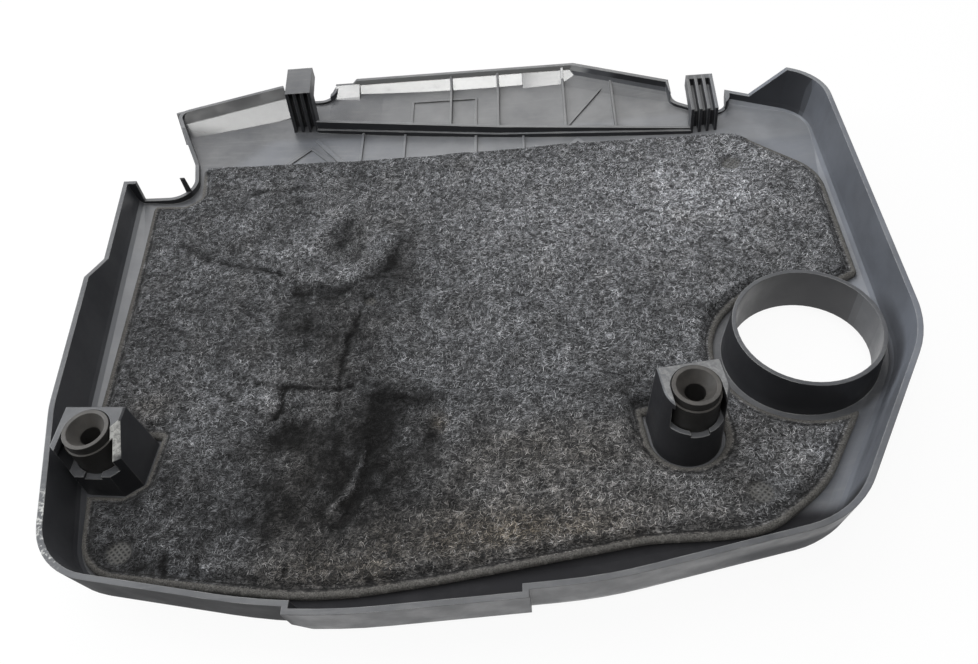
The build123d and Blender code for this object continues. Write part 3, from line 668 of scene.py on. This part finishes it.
def feltMaterial(look):
    mat, tree, bsdf = newMaterial("linerFelt")
    coords = objectCoords(tree)
    x, y = axes(tree, coords)[:2]
    attribute = tree.nodes.new("ShaderNodeAttribute")
    attribute.attribute_name = "feltTone"
    split = tree.nodes.new("ShaderNodeSeparateColor")
    tree.links.new(attribute.outputs["Color"], split.inputs[0])
    tone, dust, weld = split.outputs
    edge = attribute.outputs["Alpha"]
    # fibres, grey or tan with dust, over dark gaps
    strands = matting(tree, coords, look["strandTurns"])
    lit = calc(tree, "POWER", tone, look["tonePower"])
    fibres = mixColour(tree, dust, mixColour(tree, lit, *look["grey"]), mixColour(tree, lit, *look["tan"]))
    colour = mixColour(tree, strands, mixColour(tree, tone, *look["gaps"]), fibres)
    # pressed border with painted shade in the groove beside it, not along the rear
    front = below(tree, y, look["rearLine"], 2 * mm)
    groovePaintedShade = times(tree, between(tree, edge, 0.36, 0.46, 0.05), front, look["groovePaintedShadeShare"])
    colour = mixColour(tree, groovePaintedShade, colour, look["groovePaintedShade"])
    fine = ramp(tree, noiseTex(tree, coords, 1400.0, 3.0, 0.7), 0.3, 0.7)
    strip = times(tree, ramp(tree, edge, 0.31, 0.25), front, look["pressedShare"])
    colour = mixColour(tree, strip, colour, mixColour(tree, fine, *look["pressed"]))
    # weld spots
    pressed = times(tree, weld, waffle(tree, x, y, look["wafflePitch"]))
    welded = times(tree, weld, look["waffleShare"])
    colour = mixColour(tree, welded, colour, mixColour(tree, pressed, *look["waffle"]))
    put(tree, bsdf.inputs["Base Color"], colour)
    bsdf.inputs["Roughness"].default_value = look["rough"]
    bsdf.inputs["Specular IOR Level"].default_value = look["specular"]
    bsdf.inputs["Sheen Weight"].default_value = look["sheen"]
    height = calc(tree, "ADD", strands, times(tree, pressed, 1.5))
    put(tree, bsdf.inputs["Normal"], bump(tree, height, *look["bump"]))
    return mat


felt = addObject("feltPad", buildFelt(feltLook), feltMaterial(feltLook))
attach(felt, "root")
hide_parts("felt_liner")
print("stage: felt", len(felt.data.polygons))


# loose fibres on the felt: flat curved ribbons with thin ends, lying in tufts

fuzzLook = dict(
    pieces=3, perPiece=45000, seed=77, edgeFrom=0.48, weldTo=0.3,  # none on the cut edge or on a weld spot
    length=(1.3, 3.4), width=(0.14, 0.30), lift=(0.05, 0.55), clear=0.08, jitter=0.6,  # in millimetres
    lean=0.85, swirl=1.6, stray=0.95, curl=0.3,  # directions in radians, and curl as a share of the length
    profile=((-0.5, 0.35), (0.0, 1.0), (0.5, 0.3)),  # place along the fibre and share of its width
    level=(0.05, 1.9, 3.4),  # most fibres are dark, a few catch the light
    grey=(0.70, 0.71, 0.74), tan=(0.64, 0.54, 0.42), tonePower=1.5, rough=0.8, specular=0.2)


def fuzzMaterial(look):
    mat, tree, bsdf = newMaterial("feltFibres")
    attribute = tree.nodes.new("ShaderNodeAttribute")
    attribute.attribute_name = "fibreColour"
    put(tree, bsdf.inputs["Base Color"], attribute.outputs["Color"])
    bsdf.inputs["Roughness"].default_value = look["rough"]
    bsdf.inputs["Specular IOR Level"].default_value = look["specular"]
    return mat


def buildFuzz(look):
    mesh = felt.data
    count = len(mesh.polygons)
    centres, normals = np.zeros(count * 3, np.float32), np.zeros(count * 3, np.float32)
    mesh.polygons.foreach_get("center", centres)
    mesh.polygons.foreach_get("normal", normals)
    centres, normals = centres.reshape(-1, 3), normals.reshape(-1, 3)
    shade = np.zeros(len(mesh.vertices) * 4, np.float32)
    mesh.attributes["feltTone"].data.foreach_get("color", shade)
    shade = shade.reshape(-1, 4)[[p.vertices[0] for p in mesh.polygons]]
    free = np.flatnonzero((shade[:, 3] > look["edgeFrom"]) & (shade[:, 2] < look["weldTo"]))
    spread = np.random.default_rng(look["seed"])
    fibreMat = fuzzMaterial(look)
    n = look["perPiece"]
    points = 2 * len(look["profile"])
    pieces = []
    for k in range(look["pieces"]):
        pick = free[spread.integers(0, len(free), n)]
        p, up, here = centres[pick], normals[pick], shade[pick]
        p = p + spread.uniform(-look["jitter"], look["jitter"], (n, 3)) * mm * np.array([1, 1, 0])
        px, py = p[:, 0] / mm, p[:, 1] / mm
        angle = look["lean"] + look["swirl"] * cloud(px, py, 0.045, 11.0) + spread.normal(0, look["stray"], n)
        along = np.stack([np.cos(angle), np.sin(angle), np.zeros(n)], 1)
        along -= up * np.sum(along * up, 1, keepdims=True)
        along /= np.linalg.norm(along, axis=1, keepdims=True) + 1e-9
        side = np.cross(up, along)
        length = spread.uniform(*look["length"], n)[:, None] * mm * np.clip(here[:, 3:4] / 0.9, 0.4, 1.0)
        width = spread.uniform(*look["width"], n)[:, None] * mm
        lift = spread.uniform(*look["lift"], n)[:, None] * mm
        curl = spread.normal(0, look["curl"], n)[:, None] * length
        rows = []
        for t, share in look["profile"]:
            rise = lift * (1 - 2.8 * t * t) + look["clear"] * mm
            mid = p + along * length * t + side * curl * (t * t) * 2 + up * rise
            rows += [mid - side * width * share / 2, mid + side * width * share / 2]
        start = np.arange(n)[:, None] * points
        faces = np.concatenate([start + [0, 1, 3, 2], start + [2, 3, 5, 4]], 1).reshape(-1, 4)
        ribbon = bpy.data.meshes.new("feltFuzz%d" % (k + 1))
        ribbon.from_pydata(np.stack(rows, 1).reshape(-1, 3).tolist(), [], faces.tolist())
        least, extra, power = look["level"]
        # fibres take the felt's brightness, with its painted light and shade
        level = here[:, 0] ** look["tonePower"] * (least + extra * spread.random(n) ** power)
        share = (here[:, 1] * spread.uniform(0.3, 1.0, n))[:, None]
        colour = level[:, None] * (np.array(look["grey"]) * (1 - share) + np.array(look["tan"]) * share)
        rgba = np.concatenate([np.repeat(colour, points, 0), np.ones((n * points, 1))], 1)
        layer = ribbon.attributes.new("fibreColour", "FLOAT_COLOR", "POINT")
        layer.data.foreach_set("color", rgba.astype(np.float32).ravel())
        ribbon.materials.append(fibreMat)
        obj = bpy.data.objects.new(ribbon.name, ribbon)
        scene.collection.objects.link(obj)
        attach(obj, "root")
        pieces.append(obj)
    return pieces


fuzz = buildFuzz(fuzzLook)
print("stage: fibres", sum(len(o.data.polygons) for o in fuzz))


# camera

cameraLook = dict(place=(0.0411, -0.3348, 0.3813), right=(0.9964, 0.0, -0.085), up=(0.0533, 0.7788, 0.625),
                  back=(0.0662, -0.6273, 0.776), lens=31.29, sensor=36.0, clip=0.01)


def buildCamera(look):
    data = bpy.data.cameras.new("camera")
    data.lens = look["lens"]
    data.sensor_width = look["sensor"]
    data.clip_start = look["clip"]
    obj = bpy.data.objects.new("camera", data)
    turn = Matrix((look["right"], look["up"], look["back"])).transposed().to_4x4()
    obj.matrix_world = Matrix.Translation(look["place"]) @ turn
    scene.collection.objects.link(obj)
    scene.camera = obj


buildCamera(cameraLook)


# floor: white paper where it is seen straight on or mirrored, with the object's shadow kept on it

floorLook = dict(size=30.0, colour=(0.82, 0.82, 0.82), rough=0.9, paper=0.93)


def buildFloor(look):
    bm = bmesh.new()
    bmesh.ops.create_grid(bm, x_segments=1, y_segments=1, size=look["size"] / 2)
    mat, tree, bsdf = newMaterial("floorPaper")
    bsdf.inputs["Base Color"].default_value = (*look["colour"], 1.0)
    bsdf.inputs["Roughness"].default_value = look["rough"]
    white = tree.nodes.new("ShaderNodeEmission")
    white.inputs["Strength"].default_value = 1.0
    path = tree.nodes.new("ShaderNodeLightPath")
    seen = calc(tree, "ADD", path.outputs["Is Camera Ray"], path.outputs["Is Glossy Ray"])
    seen = calc(tree, "ADD", seen, path.outputs["Is Transmission Ray"], clamp=True)
    mix = tree.nodes.new("ShaderNodeMixShader")
    put(tree, mix.inputs[0], times(tree, seen, look["paper"]))
    tree.links.new(bsdf.outputs[0], mix.inputs[1])
    tree.links.new(white.outputs[0], mix.inputs[2])
    out = next(n for n in tree.nodes if n.type == "OUTPUT_MATERIAL")
    tree.links.new(mix.outputs[0], out.inputs[0])
    return addObject("floor", bm, mat)


floor = buildFloor(floorLook)


# light: soft boxes that look at the middle of the cover, in a grey studio

lightLook = dict(
    # place, width, depth, power and colour
    boxes=dict(
        rearBox=((-0.35, 1.2, 0.95), 1.6, 0.9, 11.0, (1.0, 1.0, 1.0)),
        leftBox=((-1.3, 0.15, 0.75), 0.9, 0.9, 12.0, (0.93, 0.97, 1.0)),
        topBox=((-0.08, -0.62, 1.2), 0.65, 0.22, 5.8, (1.0, 1.0, 0.98)),
        overBox=((-0.25, 0.3, 1.4), 1.2, 1.2, 7.0, (1.0, 1.0, 1.0)),
        stripRight=((0.12, -0.07, 1.4), 0.32, 0.14, 1.5, (1.0, 1.0, 0.98)),
        stripLeft=((-0.39, 0.19, 1.4), 0.2, 0.14, 0.9, (1.0, 1.0, 0.98))),
    aim=(0.0, 0.0, 0.01), skyFrom=(-0.35, 0.75, 0.55), skyDark=0.08, skyLight=0.4)


def buildLamp(name, place, width, depth, power, colour):
    lamp = bpy.data.lights.new(name, "AREA")
    lamp.shape = "RECTANGLE"
    lamp.size, lamp.size_y = width, depth
    lamp.energy = power
    lamp.color = colour
    obj = bpy.data.objects.new(name, lamp)
    obj.location = place
    obj.rotation_mode = "QUATERNION"
    obj.rotation_quaternion = (Vector(lightLook["aim"]) - Vector(place)).to_track_quat("-Z", "Y")
    scene.collection.objects.link(obj)


for name, box in lightLook["boxes"].items():
    buildLamp(name, *box)


def buildWorld(look):
    # lighter behind the object and overhead, and white where it is seen straight on
    world = bpy.data.worlds.new("studio")
    scene.world = world
    world.use_nodes = True
    tree = world.node_tree
    tree.nodes.clear()
    out = tree.nodes.new("ShaderNodeOutputWorld")
    lit = tree.nodes.new("ShaderNodeBackground")
    lit.inputs["Color"].default_value = (1.0, 1.0, 1.0, 1.0)
    towards = dotProduct(tree, tree.nodes.new("ShaderNodeTexCoord").outputs["Generated"], look["skyFrom"])
    sky = ramp(tree, towards, -0.5, 0.8, look["skyDark"], look["skyLight"])
    seen = tree.nodes.new("ShaderNodeLightPath").outputs["Is Camera Ray"]
    put(tree, lit.inputs["Strength"], most(tree, sky, seen))
    tree.links.new(lit.outputs[0], out.inputs[0])


buildWorld(lightLook)
scene.view_settings.view_transform = "Standard"
print("stage: camera and light")
